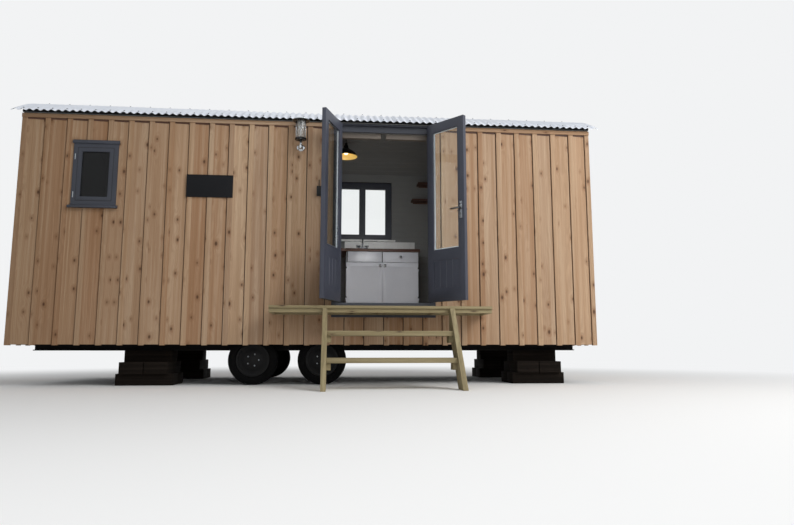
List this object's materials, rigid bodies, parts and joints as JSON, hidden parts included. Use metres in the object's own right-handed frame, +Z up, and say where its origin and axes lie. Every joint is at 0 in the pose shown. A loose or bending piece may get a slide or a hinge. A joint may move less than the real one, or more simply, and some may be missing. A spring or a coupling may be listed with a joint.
{
  "type": "shepherd's hut",
  "caption": "Timber-clad hut on wheels and timber cribs with a curved corrugated roof, glazed double doors, landing with open steps and a kitchen unit inside.",
  "frame": {"origin": "middle of the bounding box, on the ground", "axes": "+X along the hut to the right of the doors, -Y out of the doors, +Z up"},
  "size_m": [6.65, 3.664, 3.383],
  "materials": {
    "larch_cladding": "planed boards with knots, unpainted",
    "floor_boards": "satin",
    "white_boards": "painted matt white",
    "galvanised_sheet": "galvanised corrugated sheet, satin",
    "slate_grey_paint": "painted satin",
    "window_glass": "clear",
    "polished_metal": "polished",
    "stainless_steel": "brushed",
    "slate": "honed, bare",
    "black_steel": "painted black, matt",
    "rim_steel": "painted grey",
    "tyre_rubber": "matt",
    "old_sleepers": "dark weathered",
    "treated_softwood": "pressure treated, weathered",
    "cabinet_paint": "painted satin",
    "worktop_wood": "oiled",
    "sink_ceramic": "glazed",
    "black_enamel": "gloss enamel"
  },
  "bodies": {
    "hut": {"front_wall_left": "larch_cladding", "front_wall_right": "larch_cladding", "front_wall_over_door": "larch_cladding", "front_wall_under_door": "larch_cladding", "back_wall": "larch_cladding", "gable_left": "larch_cladding", "gable_right": "larch_cladding", "eave_boards": "larch_cladding", "floor": "floor_boards", "roof_deck": "white_boards", "blind_cassettes": "white_boards", "roof_sheets_under": "galvanised_sheet", "roof_sheets_over": "galvanised_sheet", "door_frame": "slate_grey_paint", "front_window": "slate_grey_paint", "back_window": "slate_grey_paint", "front_window_glass": "window_glass", "back_window_glass": "window_glass", "porch_lantern_glass": "window_glass", "tap": "polished_metal", "porch_lantern": "stainless_steel", "slate_plate": "slate", "chassis_rails": "black_steel", "cross_members": "black_steel", "axle_left": "black_steel", "axle_right": "black_steel", "cribs_left": "old_sleepers", "cribs_right": "old_sleepers", "landing_boards": "treated_softwood", "landing_frame": "treated_softwood", "stringers": "treated_softwood", "treads": "treated_softwood", "cupboard": "cabinet_paint", "worktop": "worktop_wood", "wall_shelf": "worktop_wood", "sink": "sink_ceramic", "pendant_lamp": "black_enamel"},
    "leaf_left": {"door_leaf_left": "slate_grey_paint", "door_glass_left": "window_glass"},
    "leaf_right": {"door_leaf_right": "slate_grey_paint", "door_glass_right": "window_glass", "door_handle": "polished_metal"},
    "cup_door_left": {"cupboard_door_left": "cabinet_paint"},
    "cup_door_right": {"cupboard_door_right": "cabinet_paint"},
    "drawer_box": {"drawer": "cabinet_paint"},
    "wheel_front_left": {"wheel_front_left": "rim_steel", "tyre_front_left": "tyre_rubber"},
    "wheel_front_right": {"wheel_front_right": "rim_steel", "tyre_front_right": "tyre_rubber"},
    "wheel_back_left": {"wheel_back_left": "rim_steel", "tyre_back_left": "tyre_rubber"},
    "wheel_back_right": {"wheel_back_right": "rim_steel", "tyre_back_right": "tyre_rubber"}
  },
  "joints": [
    {"name": "door_left_hinge", "type": "hinge", "parent": "hut", "child": "leaf_left", "pos_m": [0.2325, -0.7081, 1.9], "axis": [0, 0, -1], "range_deg": [-110, 35]},
    {"name": "door_right_hinge", "type": "hinge", "parent": "hut", "child": "leaf_right", "pos_m": [1.3075, -0.7081, 1.9], "axis": [0, 0, 1], "range_deg": [-130, 35]},
    {"name": "cupboard_left_hinge", "type": "hinge", "parent": "hut", "child": "cup_door_left", "pos_m": [0.378, 1.0749, 1.3], "axis": [0, 0, -1], "range_deg": [0, 100]},
    {"name": "cupboard_right_hinge", "type": "hinge", "parent": "hut", "child": "cup_door_right", "pos_m": [1.398, 1.0749, 1.3], "axis": [0, 0, 1], "range_deg": [0, 100]},
    {"name": "drawer_slide", "type": "slide", "parent": "hut", "child": "drawer_box", "axis": [0, -1, 0], "range_m": [0, 0.35]},
    {"name": "wheel_front_left_spin", "type": "hinge", "parent": "hut", "child": "wheel_front_left", "pos_m": [-0.67, -0.4866, 0.27], "axis": [0, 1, 0], "continuous": true},
    {"name": "wheel_front_right_spin", "type": "hinge", "parent": "hut", "child": "wheel_front_right", "pos_m": [0.09, -0.4866, 0.27], "axis": [0, 1, 0], "continuous": true},
    {"name": "wheel_back_left_spin", "type": "hinge", "parent": "hut", "child": "wheel_back_left", "pos_m": [-0.67, 1.5584, 0.27], "axis": [0, 1, 0], "continuous": true},
    {"name": "wheel_back_right_spin", "type": "hinge", "parent": "hut", "child": "wheel_back_right", "pos_m": [0.09, 1.5584, 0.27], "axis": [0, 1, 0], "continuous": true}
  ]
}
